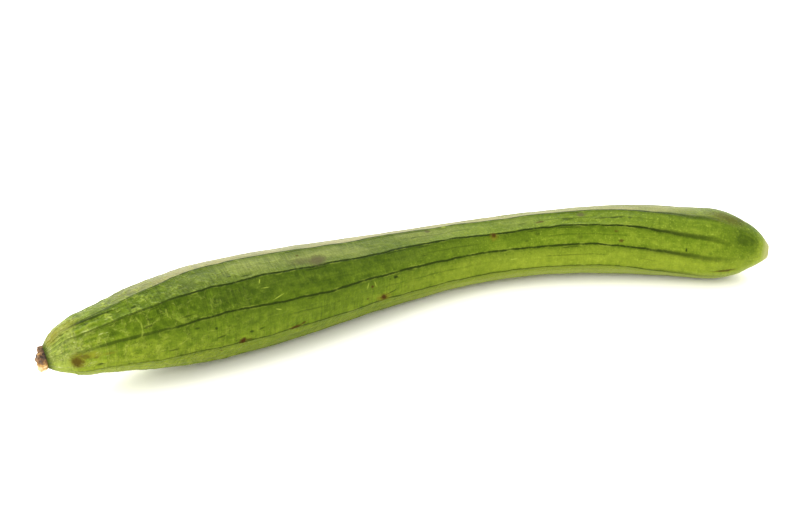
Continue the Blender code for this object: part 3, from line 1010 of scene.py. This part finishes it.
class GOURD_OT_blossom(bpy.types.Operator):
    """Make the dried blossom"""
    bl_idname = "gourd.blossom"
    bl_label = "Dried blossom"

    def execute(self, context):
        look = context.scene.gourd_blossom
        points, folds = blossom_points(look)
        piece, i, j = wrapped_sheet("gourd_dried_blossom", BLOSSOM_RINGS, BLOSSOM_COLUMNS,
                                    lambda i, j: points[i, j] * MM)
        for name, values in zip(("fold", "low"), folds[i, j].T):
            store(piece.data, name, values)
        close_and_smooth(piece)
        piece.data.materials.append(crust_material(look))
        stand_for(piece, "dried_blossom")
        return {"FINISHED"}


# Soft lights: name, the setting that holds the power, place, and size across and up, in metres
LIGHTS = (
    ("back_light", "back_power", (0, 1.4, 1.15), (3.2, 1.3)),
    ("left_light", "left_power", (-1.6, -0.1, 1), (1.6, 1.6)),
    ("right_light", "right_power", (1.6, -0.1, 1), (1.6, 1.6)),
)
LIT_POINT = (0, 0, 0.02)
CAMERA_TARGET = (0.0077, 0.0537, 0)
SENSOR_WIDTH = 36  # in mm
FLOOR_SIZE = 8
FLOOR_COLOUR = (0.955, 0.93, 0.865, 1)
ROOM_COLOUR = (1, 1, 1, 1)


def aim(thing, target):
    """Turn a lamp or camera to look at a point"""
    thing.rotation_euler = (Vector(target) - thing.location).to_track_quat("-Z", "Y").to_euler()


def add_floor():
    """A wide pale floor at the height on which the fruit rests"""
    deselect_all()
    bpy.ops.mesh.primitive_plane_add(size=FLOOR_SIZE, location=(0, 0, 0))
    floor = bpy.context.object
    floor.name = "studio_floor"
    material, shader, _ = new_material("floor_white")
    shader.inputs["Base Color"].default_value = FLOOR_COLOUR
    shader.inputs["Roughness"].default_value = 0.9
    shader.inputs["Specular IOR Level"].default_value = 0.2
    floor.data.materials.append(material)


def add_surroundings(scene, studio):
    """White surroundings"""
    world = bpy.data.worlds.new("white_room")
    world.use_nodes = True
    background = world.node_tree.nodes["Background"]
    background.inputs["Color"].default_value = ROOM_COLOUR
    background.inputs["Strength"].default_value = studio.sky
    scene.world = world


def add_light(name, power, place, size):
    """A soft rectangular light aimed at the fruit"""
    deselect_all()
    bpy.ops.object.light_add(type="AREA", location=place)
    lamp = bpy.context.object
    lamp.name = name
    lamp.data.shape = "RECTANGLE"
    lamp.data.size, lamp.data.size_y = size
    lamp.data.energy = power
    lamp.visible_camera = False
    aim(lamp, LIT_POINT)


def add_camera(scene, studio):
    """The camera, looking down on the fruit from its front left"""
    target = Vector(CAMERA_TARGET)
    turn, rise = studio.camera_turn, studio.camera_rise
    back = Vector((math.sin(turn) * math.cos(rise), -math.cos(turn) * math.cos(rise),
                   math.sin(rise)))
    deselect_all()
    bpy.ops.object.camera_add(location=target + back * studio.camera_distance)
    camera = bpy.context.object
    camera.name = "studio_camera"
    camera.data.lens = studio.lens
    camera.data.sensor_width = SENSOR_WIDTH
    aim(camera, target)
    scene.camera = camera


class GOURD_OT_studio(bpy.types.Operator):
    """Make the pale floor, the soft lights and the camera"""
    bl_idname = "gourd.studio"
    bl_label = "Studio"

    def execute(self, context):
        studio = context.scene.gourd_studio
        add_floor()
        add_surroundings(context.scene, studio)
        for name, power, place, size in LIGHTS:
            add_light(name, getattr(studio, power), place, size)
        add_camera(context.scene, studio)
        context.scene.view_settings.view_transform = "Standard"
        return {"FINISHED"}


class GOURD_PT_panel(bpy.types.Panel):
    """Buttons that build the gourd and its studio"""
    bl_label = "Ridge Gourd"
    bl_idname = "GOURD_PT_panel"
    bl_space_type = "VIEW_3D"
    bl_region_type = "UI"
    bl_category = "Gourd"

    def draw(self, context):
        for operator, *groups in (("gourd.fruit", "gourd_shape", "gourd_skin"),
                                  ("gourd.blossom", "gourd_blossom"),
                                  ("gourd.studio", "gourd_studio")):
            box = self.layout.box()
            box.operator(operator)
            for group in groups:
                settings = getattr(context.scene, group)
                for name in settings.__annotations__:
                    box.prop(settings, name)


SETTINGS = {
    "gourd_shape": GourdShape,
    "gourd_skin": GourdSkin,
    "gourd_blossom": GourdBlossom,
    "gourd_studio": GourdStudio,
}
CLASSES = (*SETTINGS.values(), GOURD_OT_fruit, GOURD_OT_blossom, GOURD_OT_studio, GOURD_PT_panel)


def register():
    """Add the classes and their settings to Blender"""
    for cls in CLASSES:
        bpy.utils.register_class(cls)
    for name, group in SETTINGS.items():
        setattr(bpy.types.Scene, name, PointerProperty(type=group))


def unregister():
    """Take the settings and classes out again"""
    for name in SETTINGS:
        delattr(bpy.types.Scene, name)
    for cls in reversed(CLASSES):
        bpy.utils.unregister_class(cls)


def main():
    """Build everything"""
    register()
    bpy.ops.gourd.fruit()
    bpy.ops.gourd.blossom()
    bpy.ops.gourd.studio()


if __name__ == "__main__":
    main()
